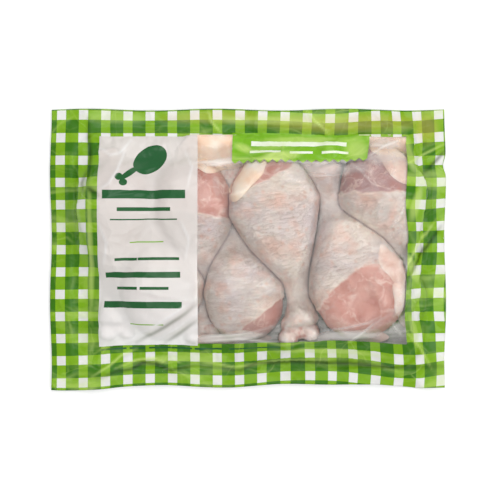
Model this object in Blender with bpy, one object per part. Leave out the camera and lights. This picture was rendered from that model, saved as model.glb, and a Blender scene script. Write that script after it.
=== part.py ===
"""A sealed retail pack of raw chicken drumsticks, lying flat on its back.

Seven drumsticks lie side by side in one layer, head to tail, between two sheets of
film that are welded together all round.  The pack is one closed solid: a flat
underside, a top that follows the meat the way a film draped over it does, and a
thin rippled weld that stands out round the edge.

Frame: metres, +X along the pack, +Y across it, +Z up.  The origin is at the middle
of the pack, on the surface that it lies on.
"""

import math

import bmesh
import bpy
import numpy as np

MM = 0.001

# The film envelope
PACK_LENGTH = 300 * MM
PACK_WIDTH = 214 * MM
POCKET_LENGTH = 268 * MM
POCKET_WIDTH = 182 * MM
POCKET_CORNER = 22 * MM
WELD_THICKNESS = 1.2 * MM
WELD_LIFT_INNER = 7.5 * MM
WELD_LIFT_OUTER = 2.6 * MM
WELD_RIPPLE = 1.1 * MM
WELD_RIPPLE_LENGTH = 43 * MM
EDGE_WAVER = 0.9 * MM
EDGE_WAVER_LENGTH = 97 * MM
BASE_ROUNDING = 17 * MM

# The drape of the upper film over the meat
FILM_SAG = 0.035 * MM
DRAPE_PASSES = 420

# One drumstick
LEG_LENGTH = 143 * MM
THIGH_PLACE = 0.27
ANKLE_PLACE = 0.80
THIGH_HALF_WIDTH = 31 * MM
ANKLE_HALF_WIDTH = 11.5 * MM
KNUCKLE_RADIUS = 14 * MM
THIGH_FLATNESS = 0.60
ANKLE_FLATNESS = 0.95

# Where the legs lie: the end of the thigh, the end of the knuckle, the lift of the
# thigh and the size against LEG_LENGTH and THIGH_HALF_WIDTH
LEGS = (
    ((-96.0, 70.0), (-99.0, -68.0), 0.0, 0.90),
    ((-62.0, -69.0), (-72.0, 67.0), 0.0, 0.92),
    ((-46.0, 72.0), (-34.0, -69.0), 0.5, 0.95),
    ((0.5, -69.5), (-13.0, 66.0), 0.0, 0.95),
    ((12.0, 75.0), (40.0, -71.0), 3.0, 1.06),
    ((94.0, -66.0), (53.0, 74.0), 2.0, 1.10),
    ((93.0, 79.0), (119.0, -52.0), 0.0, 0.97),
)

# Mesh density
CELLS_ALONG = 58
CELLS_ACROSS = 42

FILM_COLOUR = (0.33, 0.52, 0.08, 1.0)


def remove_startup_objects():
    """Empty the scene."""
    for old in list(bpy.data.objects):
        bpy.data.objects.remove(old, do_unlink=True)


def film_material():
    """Glossy printed film."""
    material = bpy.data.materials.new("printed film")
    material.use_nodes = True
    shader = material.node_tree.nodes["Principled BSDF"]
    shader.inputs["Base Color"].default_value = FILM_COLOUR
    shader.inputs["Roughness"].default_value = 0.25
    shader.inputs["Metallic"].default_value = 0.0
    return material


def smooth_step(value):
    """Ease from 0 to 1 with level ends."""
    value = np.clip(value, 0.0, 1.0)
    return value * value * (3.0 - 2.0 * value)


def pocket_distance(x, y):
    """Distance inside the pocket's rounded outline, negative outside it."""
    over_x = np.abs(x) - (POCKET_LENGTH / 2 - POCKET_CORNER)
    over_y = np.abs(y) - (POCKET_WIDTH / 2 - POCKET_CORNER)
    outside = np.hypot(np.maximum(over_x, 0.0), np.maximum(over_y, 0.0))
    inside = np.minimum(np.maximum(over_x, over_y), 0.0)
    return POCKET_CORNER - outside - inside


def leg_half_width(place, size):
    """Half width of a leg, at a place from 0 (end of the thigh) to 1 (knuckle)."""
    thigh = THIGH_HALF_WIDTH * size
    round_end = np.clip(1.0 - ((place - THIGH_PLACE) / THIGH_PLACE) ** 2, 0.0, 1.0)
    taper = smooth_step((place - THIGH_PLACE) / (ANKLE_PLACE - THIGH_PLACE))
    tapered = thigh + (ANKLE_HALF_WIDTH - thigh) * taper
    half_width = np.where(place < THIGH_PLACE, thigh * np.sqrt(round_end), tapered)
    knuckle = (place - 1.0) * LEG_LENGTH * size + KNUCKLE_RADIUS
    half_width = np.where(knuckle > 0.0, 0.0, half_width)
    bulb = np.sqrt(np.clip(KNUCKLE_RADIUS**2 - knuckle**2, 0.0, None))
    return np.maximum(half_width, bulb)


def leg_height(x, y, thigh_end, knuckle_end, lift, size):
    """Height of the top of one leg over a point, 0 where the leg isn't."""
    start = np.array(thigh_end) * MM
    run = np.array(knuckle_end) * MM - start
    length = math.hypot(run[0], run[1])
    along = ((x - start[0]) * run[0] + (y - start[1]) * run[1]) / length**2
    aside = ((x - start[0]) * run[1] - (y - start[1]) * run[0]) / length
    half_width = np.maximum(leg_half_width(along, size), 1e-6)
    flatness = THIGH_FLATNESS + (ANKLE_FLATNESS - THIGH_FLATNESS) * np.clip(along, 0, 1)
    crown = np.sqrt(np.clip(1.0 - (aside / half_width) ** 2, 0.0, 1.0))
    half_height = half_width * flatness
    top = lift * MM * (1.0 - np.clip(along, 0, 1)) + half_height * (1.0 + crown)
    covered = (crown > 0.0) & (along > 0.0) & (along < 1.0)
    return np.where(covered, top, 0.0)


def weld_height(x, y):
    """Height of the middle of the welded edge: drooping outwards, gently rippled."""
    outwards = np.clip(-pocket_distance(x, y) / (PACK_WIDTH / 2 - POCKET_WIDTH / 2), 0, 1)
    droop = WELD_LIFT_INNER + (WELD_LIFT_OUTER - WELD_LIFT_INNER) * outwards
    turn = 2.0 * math.pi / WELD_RIPPLE_LENGTH
    ripple = np.sin(x * turn) * np.cos(y * turn * 0.8) + 0.4 * np.sin((x + y) * turn * 1.7)
    return droop + WELD_RIPPLE * ripple * (0.35 + 0.65 * outwards)


def draped_top(x, y):
    """Height of the upper film: stretched over the legs, let down onto the weld."""
    meat = np.zeros_like(x)
    for thigh_end, knuckle_end, lift, size in LEGS:
        meat = np.maximum(meat, leg_height(x, y, thigh_end, knuckle_end, lift, size))
    inside = pocket_distance(x, y)
    weld = weld_height(x, y) + WELD_THICKNESS / 2
    free = inside > 0.0
    top = np.where(free, np.maximum(meat, weld), weld)
    for _ in range(DRAPE_PASSES):
        spread = top.copy()
        spread[1:-1, 1:-1] = (
            top[:-2, 1:-1] + top[2:, 1:-1] + top[1:-1, :-2] + top[1:-1, 2:]
        ) / 4.0 - FILM_SAG
        top = np.where(free, np.maximum(meat, spread), weld)
    return top


def base_height(x, y):
    """Height of the lower film: flat on the ground, curling up to the weld."""
    curl = 1.0 - smooth_step(pocket_distance(x, y) / BASE_ROUNDING)
    return (weld_height(x, y) - WELD_THICKNESS / 2) * curl


def plan_grid():
    """Points of the pack seen from above, with slightly wavering cut edges."""
    across, along = np.meshgrid(
        np.linspace(-0.5, 0.5, CELLS_ACROSS + 1),
        np.linspace(-0.5, 0.5, CELLS_ALONG + 1),
    )
    x = along * (PACK_LENGTH - 2 * EDGE_WAVER)
    y = across * (PACK_WIDTH - 2 * EDGE_WAVER)
    turn = 2.0 * math.pi / EDGE_WAVER_LENGTH
    waver_x = EDGE_WAVER * np.sin(y * turn) * (np.abs(along) * 2.0) ** 8
    waver_y = EDGE_WAVER * np.sin(x * turn) * (np.abs(across) * 2.0) ** 8
    x = x - waver_x * np.sign(along)
    y = y - waver_y * np.sign(across)
    return x, y


def pack_mesh():
    """The closed solid: top grid, underside grid and the rim that joins them."""
    x, y = plan_grid()
    top = draped_top(x, y)
    base = base_height(x, y)
    x = x - (x.max() + x.min()) / 2
    y = y - (y.max() + y.min()) / 2
    shape = bmesh.new()
    rows, columns = x.shape

    def layer(height):
        return [
            [shape.verts.new((x[i, j], y[i, j], height[i, j])) for j in range(columns)]
            for i in range(rows)
        ]

    upper = layer(top)
    lower = layer(base)
    for i in range(rows - 1):
        for j in range(columns - 1):
            a, b = upper[i][j], upper[i + 1][j]
            c, d = upper[i + 1][j + 1], upper[i][j + 1]
            shape.faces.new((a, b, c, d))
            a, b = lower[i][j], lower[i + 1][j]
            c, d = lower[i + 1][j + 1], lower[i][j + 1]
            shape.faces.new((d, c, b, a))
    rim = [(i, 0) for i in range(rows)]
    rim += [(rows - 1, j) for j in range(1, columns)]
    rim += [(i, columns - 1) for i in range(rows - 2, -1, -1)]
    rim += [(0, j) for j in range(columns - 2, 0, -1)]
    for here, there in zip(rim, rim[1:] + rim[:1]):
        a, b = upper[here[0]][here[1]], upper[there[0]][there[1]]
        c, d = lower[there[0]][there[1]], lower[here[0]][here[1]]
        shape.faces.new((b, a, d, c))
    flat = [f for f in shape.faces if all(v.co.z == 0.0 for v in f.verts)]
    bmesh.ops.dissolve_faces(shape, faces=flat, use_verts=True)
    bmesh.ops.triangulate(shape, faces=[f for f in shape.faces if len(f.verts) > 4])
    bmesh.ops.recalc_face_normals(shape, faces=shape.faces)
    mesh = bpy.data.meshes.new("sealed_pack")
    shape.to_mesh(mesh)
    shape.free()
    return mesh


def make_pack():
    """The pack as one object."""
    pack = bpy.data.objects.new("sealed_pack", pack_mesh())
    pack.data.materials.append(film_material())
    pack.data.shade_smooth()
    bpy.context.scene.collection.objects.link(pack)
    return pack


remove_startup_objects()
make_pack()
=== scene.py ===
"""Looks of a sealed retail pack of raw chicken drumsticks, seen from above.

The frame gives one solid, sealed_pack. It is replaced by a film envelope, printed in
green checks with a translucent label and a clear window, and by the legs inside it,
each a body of skin and flesh with a knuckle of cartilage at its end. Lengths in the
tables are millimetres, in the frame's own axes: +X along the pack, +Y across it.
"""

import math

import bmesh
import bpy
import numpy as np
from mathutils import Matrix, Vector, noise
from mathutils.bvhtree import BVHTree


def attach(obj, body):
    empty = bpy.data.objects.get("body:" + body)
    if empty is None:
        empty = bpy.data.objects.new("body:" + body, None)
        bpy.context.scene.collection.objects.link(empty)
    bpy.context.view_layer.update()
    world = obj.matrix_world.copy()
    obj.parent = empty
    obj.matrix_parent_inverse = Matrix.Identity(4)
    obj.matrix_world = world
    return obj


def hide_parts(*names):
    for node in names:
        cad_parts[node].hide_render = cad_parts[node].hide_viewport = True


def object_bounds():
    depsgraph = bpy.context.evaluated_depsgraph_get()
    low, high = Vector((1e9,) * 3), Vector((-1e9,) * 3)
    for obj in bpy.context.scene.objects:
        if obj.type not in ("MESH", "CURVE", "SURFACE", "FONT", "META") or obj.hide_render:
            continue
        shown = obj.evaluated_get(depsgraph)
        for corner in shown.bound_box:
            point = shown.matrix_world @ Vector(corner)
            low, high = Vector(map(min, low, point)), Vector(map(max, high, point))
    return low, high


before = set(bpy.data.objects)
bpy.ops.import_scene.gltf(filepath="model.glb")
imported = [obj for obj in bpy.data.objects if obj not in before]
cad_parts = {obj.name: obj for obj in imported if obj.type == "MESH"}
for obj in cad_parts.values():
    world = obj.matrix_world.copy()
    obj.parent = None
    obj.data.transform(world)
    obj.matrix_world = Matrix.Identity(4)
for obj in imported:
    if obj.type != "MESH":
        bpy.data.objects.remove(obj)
cad_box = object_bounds()

MM = 0.001
PACK_LENGTH = (cad_box[1].x - cad_box[0].x) / MM
PACK_WIDTH = (cad_box[1].y - cad_box[0].y) / MM

# The pocket between the welds, where front and back film part
POCKET_LENGTH = 268.0
POCKET_WIDTH = 182.0
POCKET_CORNER = 22.0
BACK_RISE = 6.2
# The film's grid, its clearance from the meat and the puckers of the weld
CELL = 1.3
FILM_GAP = 0.35
PUCKER_LENGTH = 13.0
PUCKER_HEIGHT = 0.9
# The cut edges waver, and the lower one is drawn in: place along it and how far
EDGE_WAVER = 0.7
EDGE_WAVER_LENGTH = 97.0
BOTTOM_PULL = (
    (-150, 0.0), (-142, 0.0), (-109, 1.5), (-97, 2.5), (-60, 3.6), (-30, 3.0), (-9, 2.6), (24, 4.2),
    (77, 5.2), (97, 4.6), (112, 2.8), (130, 1.0), (150, 2.4),
)
# A dent in the right-hand edge
NOTCH_AT, NOTCH_DEPTH, NOTCH_LENGTH = 64.0, 2.4, 5.5

# How the front film lies: how strongly it is drawn down, and its spare length
CLING = 0.020
SLACK_MIDDLE = 0.006
SLACK_EDGE = 0.030
SETTLING_PASSES = 260

# Creases that stay in the front film: points along each, half width and height,
# less than 0 for a valley
CREASES = (
    (((-114, -98), (-100, -92), (-88, -90), (-80, -85), (-70, -86), (-58, -91), (-36, -86)), 2.2, -2.6),
    (((-40, -87), (-6, -91), (5, -86), (32, -85), (77, -86), (115, -89), (150, -88)), 2.0, -2.0),
    (((-118, -96), (-106, -88), (-96, -80), (-84, -75)), 2.2, 2.6),
    (((-100, -89), (-84, -83), (-72, -82), (-60, -86)), 1.8, 1.8),
    (((142.5, 23.5), (130, 6), (117, -17)), 2.2, 3.4),
    (((146, 18), (134, 1), (121, -21)), 2.4, -3.0),
    (((150, 81), (134, 73), (119, 64)), 2.0, 2.8),
    (((150, 76), (134, 59)), 2.2, -2.6),
    (((-38, 65), (-12, 69.5), (39, 66), (92, 68)), 1.8, 1.5),
    (((91, 70), (104, 79), (117, 85)), 1.6, 1.4),
    (((-91, -69), (-64, -53), (-38, -36)), 1.8, 1.5),
    (((-84, -70), (-62, -57), (-38, -41)), 1.6, -1.2),
    (((-70, -69), (-54, -59), (-38, -48)), 1.8, 1.3),
    (((-62, -70), (-50, -62), (-38, -53)), 1.6, -1.0),
    (((-112, 44), (-104, 50), (-98, 60), (-92, 78)), 1.8, 1.2),
    (((-113, 78), (-104, 72), (-96, 74), (-88, 84)), 1.6, 1.1),
    (((-48, 76), (-42, 62), (-46, 44)), 1.6, 1.0),
    (((-112, 20), (-106, 6), (-108, -12)), 1.8, 1.1),
    (((-50, 22), (-44, 8), (-47, -8)), 1.6, 0.9),
    (((-121, 47), (-112, 41)), 2.2, -1.8),
    (((-38, -70), (-8, -67), (24, -71), (60, -68)), 1.8, 1.2),
    (((62, 88), (50, 98), (44, 106)), 2.2, 1.6),
    (((-20, 88), (-28, 97), (-30, 106)), 2.2, 1.4),
    (((118, -60), (130, -74), (139, -90)), 2.4, 1.8),
    (((-121, 100), (-119.5, 70), (-121, 44)), 1.6, -1.3),
    (((-119.5, 44), (-119, 0), (-119.5, -55)), 1.6, 0.9),
    (((-121, 62), (-126, 50), (-121, 40)), 1.6, -1.2),
    (((-36, -84), (-10, -89), (20, -84), (60, -83)), 2.0, 1.6),
    (((40, 57), (56, 56), (74, 57)), 1.3, 0.9),
    (((105, -50), (111, -59), (118, -66)), 1.6, 0.8),
    (((-40, 65), (-30, 66), (-14, 67), (0, 66)), 1.3, 1.2),
    (((-38, 61), (-26, 64), (-15, 67)), 1.3, 0.9),
    (((3, -30), (19, -19)), 1.6, 0.7),
    (((4, -36), (24, -28)), 1.6, 0.8),
    (((-38, -66), (-19, -65), (0, -62), (19, -58)), 1.5, 1.1),
    (((56, -61), (76, -57), (90, -54), (99, -49)), 1.4, 1.2),
    (((76, -70), (93, -55), (105, -48)), 1.4, 1.1),
    (((119, 35), (113, 24), (105, 15)), 1.4, 1.0),
    (((75, 67), (85, 59), (97, 46)), 1.3, 0.8),
    (((90, 79), (103, 79), (117, 85)), 1.4, 1.0),
    (((-2, 77), (16, 72), (34, 76)), 1.8, 1.0),
    (((44, 84), (62, 80), (86, 86)), 1.8, 1.0),
)
# Soft patches where the window's film is whitened, partly milky haze and partly painted reflections:
# middle, half length, half width, turn in degrees, share hidden
HAZE_AND_REFLECTION_PATCHES = (
    ((-8, -28), 13, 17, 0, 0.16), ((60, 60), 30, 6.5, -3, 0.34), ((34, 55), 12, 8, 25, 0.26),
    ((-14, -67), 32, 5, 4, 0.48), ((74, -67), 34, 6, 4, 0.52), ((103, 69), 17, 8, 10, 0.30),
    ((-24, 66), 18, 3.5, 5, 0.40), ((-24, 48), 4, 12, 8, 0.16), ((104, 25), 5, 12, -40, 0.20),
    ((114, -60), 4, 9, 35, 0.22), ((88, 60), 8, 5, -10, 0.22), ((103, 81), 16, 7, -4, 0.42),
)
# Soft patches of painted glare on the printed film, a pale painted highlight mixed into the ink, in the same
# terms
GLARE_PATCHES = (
    ((-3.5, 77.5), 8, 4, -20, 0.60), ((25, 70.5), 18, 4.5, 8, 0.75), ((41, 84.5), 36, 3, 2, 0.50),
    ((82, 76), 10, 12, 20, 0.55), ((122, 72), 5, 20, 12, 0.50), ((126, 34), 4, 16, -15, 0.50),
    ((124, -14), 4, 16, 30, 0.55), ((126, -60), 4, 14, 10, 0.45), ((-118, 0), 2.5, 60, 0, 0.35),
    ((-100, 100), 30, 5, 0, 0.25), ((20, 98), 60, 4, 0, 0.30), ((-60, -86), 30, 4, 5, 0.35),
    ((60, -82), 50, 3, -2, 0.40),
)
# Where warm fat behind the printed film tints it, in the same terms
WARM_PATCHES = (
    ((70, 97), 85, 8, 0, 0.30), ((-25, 100), 50, 6, 0, 0.22), ((136, 92), 12, 14, 0, 0.30),
)
# The print wavers on the crumpled film over this length
WAVER_LENGTH = 52.0

# A leg's top is pressed flatter above this height
FLAT_TOP = 38.0

# The legs: end of the thigh, end of the knuckle, lift of the thigh and of the
# knuckle, size, the skin's edge as distance along at the middle, its slope and its
# bend across the leg, how far the shin bows to the leg's right, how purple the
# flesh is and how much fuller the thigh's end is
LEGS = {
    "leg_1": ((-96, 70), (-99, -68), (1, 1), 0.90, (30, 0.2, 0.0), 2.0, 0.2, 0.15),
    "leg_2": ((-62, -68), (-72, 68), (1, 1), 0.92, (34, -0.3, 0.0), -3.0, 0.2, 0.15),
    "leg_3": ((-46, 72), (-34, -69), (1, 1), 0.96, (43, -0.22, 0.002), 2.0, 0.1, 0.15),
    "leg_4": ((1, -69), (-13, 66), (1, 1), 0.92, (12.0, 0.64, 0.0), 2.0, 0.3, 0.32),
    "leg_5": ((11.5, 76), (39.5, -71), (5, 12), 1.06, (23, 0.34, -0.004), -5.0, 0.1, 0.0),
    "leg_6": ((94, -65), (52, 76), (6, 2), 1.14, (50.5, 0.24, -0.010), -2.0, 0.0, 0.30),
    "leg_7": ((93, 81), (121, -50), (0, 0), 0.98, (38, -0.21, 0.0), -4.0, 0.9, 0.1),
}
# Soft scraps of fat and of skin lying over the legs: middle, length, width, turn in
# degrees, height
FAT_FOLDS = {
    "fat_fold_1": ((1.5, 57), 43, 17, 50, 6.0),
    "fat_fold_2": ((-27, 74), 46, 36, 4, 6.0),
    "fat_fold_3": ((107, 80), 44, 22, -4, 6.0),
    "fat_fold_4": ((-104, 70), 24, 12, 8, 6.0),
}
SKIN_SCRAPS = {
    "skin_scrap_1": ((-16, -68), 56, 15, 3, 5.0),
    "skin_scrap_2": ((74, -67), 56, 16, 7, 5.0),
    "skin_scrap_3": ((108, -12), 15, 34, 24, 4.3),
    "skin_scrap_4": ((114, 71), 58, 27, -42, 4.7),
    "skin_scrap_5": ((115, -40), 14, 30, 14, 6.0),
}
# Scraps bridge gaps at this height and stay inside this half length and half width
SCRAP_LOWEST = 10.0
SCRAP_REACH = (126.0, 87.0)
LEG_RINGS = 140
LEG_SIDES = 116
# Place along a leg, half width and half height over half width
LEG_OUTLINE = (
    (0.00, 19.0, 0.70), (0.08, 21.5, 0.70), (0.14, 25.4, 0.70), (0.20, 29.4, 0.69),
    (0.295, 33.0, 0.69), (0.397, 28.2, 0.71), (0.47, 24.2, 0.75), (0.543, 19.6, 0.80),
    (0.616, 14.2, 0.90), (0.67, 10.0, 0.98), (0.72, 7.8, 1.05), (0.78, 8.6, 1.05),
    (0.84, 11.2, 0.92), (0.90, 13.8, 0.80), (1.00, 14.0, 0.75),
)
THIGH_CAP = 0.15
BOXINESS = 0.86
SLEEVE_END = 0.935
SKIN_THICKNESS = 0.9
KNUCKLE_PLACE = 0.935


# ---------------------------------------------------------------- small helpers


def linear(hex_colour):
    """A colour written as sRGB hex, turned into linear light."""
    parts = [int(hex_colour[i : i + 2], 16) / 255 for i in (1, 3, 5)]
    return [c / 12.92 if c <= 0.04045 else ((c + 0.055) / 1.055) ** 2.4 for c in parts] + [1.0]


def add_node(tree, kind, inputs=None, **settings):
    """Adds a node, sets its settings, and sets or links its inputs."""
    made = tree.nodes.new(kind)
    for name, value in settings.items():
        setattr(made, name, value)
    for key, value in (inputs or {}).items():
        socket = made.inputs[key]
        if isinstance(value, bpy.types.NodeSocket):
            tree.links.new(value, socket)
        else:
            socket.default_value = value
    return made


def empty_material(name):
    """A material with an empty node tree and its output node."""
    material = bpy.data.materials.new(name)
    material.use_nodes = True
    tree = material.node_tree
    tree.nodes.clear()
    return material, tree, tree.nodes.new("ShaderNodeOutputMaterial")


def colour_ramp(tree, factor, stops, interpolation="LINEAR"):
    """A ramp through sRGB hex colours or greys at the given places."""
    ramp = add_node(tree, "ShaderNodeValToRGB", {"Fac": factor})
    ramp.color_ramp.interpolation = interpolation
    while len(ramp.color_ramp.elements) < len(stops):
        ramp.color_ramp.elements.new(1.0)
    for element, (place, value) in zip(ramp.color_ramp.elements, stops):
        element.position = place
        element.color = linear(value) if isinstance(value, str) else (value, value, value, 1.0)
    return ramp.outputs["Color"]


def mix_colour(tree, factor, first, second, blend="MIX"):
    """Two colours mixed by a factor."""
    mixed = add_node(
        tree, "ShaderNodeMix", {0: factor, 6: first, 7: second}, data_type="RGBA", blend_type=blend
    )
    return mixed.outputs[2]


def smooth_step(value):
    """Ease from 0 to 1 with level ends."""
    value = np.clip(value, 0.0, 1.0)
    return value * value * (3.0 - 2.0 * value)


def link_mesh(name, points, faces, materials):
    """A new object from points in millimetres, shaded smooth."""
    mesh = bpy.data.meshes.new(name)
    mesh.from_pydata((np.asarray(points, float) * MM).tolist(), [], faces)
    for material in materials:
        mesh.materials.append(material)
    mesh.shade_smooth()
    piece = bpy.data.objects.new(name, mesh)
    bpy.context.scene.collection.objects.link(piece)
    return piece


def add_attribute(mesh, name, values):
    """Stores one number for each point."""
    layer = mesh.attributes.new(name, "FLOAT", "POINT")
    layer.data.foreach_set("value", np.asarray(values, np.float32).ravel())


def add_uv(mesh, name, u, v):
    """Stores a UV map from two numbers for each point."""
    layer = mesh.uv_layers.new(name=name)
    corner = np.zeros(len(mesh.loops), np.int32)
    mesh.loops.foreach_get("vertex_index", corner)
    pairs = np.stack([np.ravel(u)[corner], np.ravel(v)[corner]], axis=1)
    layer.data.foreach_set("uv", pairs.astype(np.float32).ravel())


def lumps(points, size, seed):
    """Smooth noise from about -1 to 1 for each point, with lumps of the given size."""
    shift = Vector((seed * 7.31, seed * 3.17, seed * 5.77))
    return np.array([noise.noise(Vector(p) / size + shift) for p in points.reshape(-1, 3)]).reshape(
        points.shape[:-1]
    )


# ---------------------------------------------------------------- the legs


def leg_frame(spec):
    """Start, direction along, direction to the right and length of a leg, seen from above."""
    start, end = np.array(spec[0], float), np.array(spec[1], float)
    length = float(np.hypot(*(end - start)))
    along = (end - start) / length
    return start, along, np.array([along[1], -along[0]]), length


def leg_size(place, size, fuller):
    """Half width and half height of a leg at places along it."""
    table = np.array(LEG_OUTLINE)
    fine = np.linspace(0.0, 1.0, 401)
    kernel = np.hanning(33)
    kernel /= kernel.sum()
    half_width = np.interp(fine, table[:, 0], table[:, 1])
    ratio = np.interp(fine, table[:, 0], table[:, 2])
    padded = [np.pad(values, 16, mode="edge") for values in (half_width, ratio)]
    half_width, ratio = (np.convolve(values, kernel, mode="valid") for values in padded)
    cap = np.sqrt(np.clip(1.0 - np.clip(1.0 - fine / THIGH_CAP, 0, 1) ** 2, 0, 1))
    tail = np.sqrt(np.clip(1.0 - np.clip((fine - 0.875) / (SLEEVE_END - 0.875), 0, 1) ** 2, 0, 1))
    half_width = half_width * cap * tail * size * (1.0 + fuller * np.exp(-((fine / 0.17) ** 2)))
    return np.interp(place, fine, half_width), np.interp(place, fine, half_width * ratio)


def skin_edge_distance(spec, along, aside, points, seed):
    """Millimetres from the skin's torn edge, more than 0 on the skin."""
    middle, slope, bend = spec[4]
    ragged = 2.2 * lumps(points, 9.0, seed) + 0.9 * lumps(points, 3.1, seed + 20)
    return along - (middle + slope * aside + bend * aside**2) + ragged


def make_leg(name, spec, materials, seed):
    """One leg: flesh and skin as one closed body, and its knuckle."""
    start, ahead, right, length = leg_frame(spec)
    lift_thigh, lift_knuckle = spec[2]
    size = spec[3]
    turn = np.linspace(0, 2 * math.pi, LEG_SIDES, endpoint=False)
    place = SLEEVE_END * (1 - np.cos(np.linspace(0, math.pi, LEG_RINGS + 1)[1:-1])) / 2
    half_width, half_height = leg_size(place, size, spec[7])
    boxy_cos = np.sign(np.cos(turn)) * np.abs(np.cos(turn)) ** BOXINESS
    boxy_sin = np.sign(np.sin(turn)) * np.abs(np.sin(turn)) ** BOXINESS
    bulge = 1.0 + 0.05 * np.sin(2.0 * turn + 0.9 * seed)[None, :] * np.sin(np.pi * place)[:, None]
    side = boxy_cos[None, :] * half_width[:, None] * bulge
    rise = boxy_sin[None, :] * half_height[:, None]
    low_flat = np.where(rise < 0, rise * 0.88, rise)
    bow = spec[5] * np.exp(-((place - 0.76) / 0.17) ** 2)
    middle_height = lift_thigh + (lift_knuckle - lift_thigh) * place + half_height * 0.88
    settle = np.maximum(middle_height, lift_thigh * (1 - place) + lift_knuckle * place)
    run = place[:, None] * length + 0 * side
    aside = side + bow[:, None]
    points = np.stack(
        [
            start[0] + ahead[0] * run + right[0] * aside,
            start[1] + ahead[1] * run + right[1] * aside,
            settle[:, None] + low_flat,
        ],
        axis=-1,
    )
    outward = np.stack(
        [
            right[0] * np.cos(turn)[None, :] + 0 * run,
            right[1] * np.cos(turn)[None, :] + 0 * run,
            np.sin(turn)[None, :] + 0 * run,
        ],
        axis=-1,
    )
    edge = skin_edge_distance(spec, run, side, points, seed)
    skin = smooth_step(edge / 1.2 + 0.5)
    roll = np.exp(-((edge - 0.9) / 1.1) ** 2)
    muscle = 0.9 * lumps(points * [1.0, 1.0, 1.6], 24.0, seed + 3) + 1.6 * lumps(points, 48.0, seed + 4)
    ripple = lumps(points, 6.5, seed + 5)
    fade = np.clip(np.sin(np.pi * place / SLEEVE_END) * 2.2, 0, 1)[:, None]
    push = skin * SKIN_THICKNESS + roll * 0.5 + muscle * fade + ripple * 0.35 * fade
    fibres = lumps(points, 3.0, seed + 9)
    push = push + (1 - skin) * fibres * 0.25
    points = points + outward * push[..., None]
    over = np.maximum(points[..., 2] - FLAT_TOP, 0.0)
    points[..., 2] = np.maximum(points[..., 2] - over + 7.0 * np.tanh(over / 9.0), 0.9)
    tips = np.array([points[0].mean(0), points[-1].mean(0)])
    tips[0, :2] -= ahead * 0.05
    tips[1, :2] += ahead * 0.05
    flat = points.reshape(-1, 3)
    rings, sides = points.shape[:2]
    grid = np.arange(rings * sides).reshape(rings, sides)
    beside = np.roll(grid, -1, axis=1)
    faces = np.stack([grid[:-1], beside[:-1], beside[1:], grid[1:]], axis=-1).reshape(-1, 4).tolist()
    first, last = rings * sides, rings * sides + 1
    faces += [[first, beside[0, j], grid[0, j]] for j in range(sides)]
    faces += [[last, grid[-1, j], beside[-1, j]] for j in range(sides)]
    leg = link_mesh(name, np.vstack([flat, tips]), faces, materials[:1])
    ends = [edge[0].mean(), edge[-1].mean()]
    add_attribute(leg.data, "skin_edge", np.append(edge.ravel(), ends))
    add_attribute(leg.data, "purple", np.full(len(leg.data.vertices), spec[6]))
    girth = (turn[None, :] / (2 * math.pi) * 100.0 + 0 * run) * MM
    add_uv(leg.data, "leg", np.append(run.ravel() * MM, [0, length * MM]), np.append(girth.ravel(), [0, 0]))
    fix_normals(leg)
    knuckle = make_knuckle(name, start, ahead, right, length, spec, materials[1:], seed)
    return [leg, knuckle]


def make_knuckle(name, start, ahead, right, length, spec, materials, seed):
    """The end of the bone: two round condyles with a groove between them."""
    size = spec[3]
    height = spec[2][1] + 9.6 * size
    centre = np.array([*(start + ahead * length * KNUCKLE_PLACE), height])
    lobes = (
        (-8.4, 1.6, 0.6, 6.6), (7.6, 3.0, 0.2, 7.0), (0.0, -2.6, -1.0, 8.4), (-3.4, -6.0, -0.4, 7.6),
        (3.4, -6.0, -0.4, 7.6),
    )
    shape = bmesh.new()
    bmesh.ops.create_icosphere(shape, subdivisions=5, radius=1.0)
    directions = np.array([v.co for v in shape.verts])
    reach = np.zeros(len(directions))
    for aside, forward, up, radius in lobes:
        spot = np.array([aside, forward, up]) * size
        radius = radius * size
        lined = directions @ spot
        inside = np.clip(lined**2 - (spot @ spot - radius**2), 0, None)
        reach = reach + np.exp((lined + np.sqrt(inside)) / 1.1)
    reach = np.log(reach) * 1.1
    local = directions * reach[:, None]
    local = local * (1.0 + 0.018 * lumps(local, 4.0, seed + 40))[:, None]
    placed = centre + np.stack(
        [
            right[0] * local[:, 0] + ahead[0] * local[:, 1],
            right[1] * local[:, 0] + ahead[1] * local[:, 1],
            local[:, 2],
        ],
        axis=-1,
    )
    placed[:, 2] = np.maximum(placed[:, 2], 1.0)
    faces = [[v.index for v in f.verts] for f in shape.faces]
    shape.free()
    knuckle = link_mesh(name + "_knuckle", placed, faces, materials)
    add_attribute(knuckle.data, "tip", local[:, 1])
    fix_normals(knuckle)
    return knuckle


def mark_contact(pieces, reach):
    """Stores how close each point lies to another leg: 1 where they touch."""
    for piece in pieces:
        points, faces, base = [], [], 0
        for other in pieces:
            if other.name.split("_knuckle")[0] != piece.name.split("_knuckle")[0]:
                points += [v.co / MM for v in other.data.vertices]
                faces += [[base + i for i in f.vertices] for f in other.data.polygons]
                base = len(points)
        tree = BVHTree.FromPolygons(points, faces)
        near = np.zeros(len(piece.data.vertices))
        for index, vertex in enumerate(piece.data.vertices):
            gap = tree.find_nearest(vertex.co / MM, reach * 3)[3]
            if gap is not None:
                near[index] = math.exp(-((gap / reach) ** 2))
        add_attribute(piece.data, "contact", near)


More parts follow.
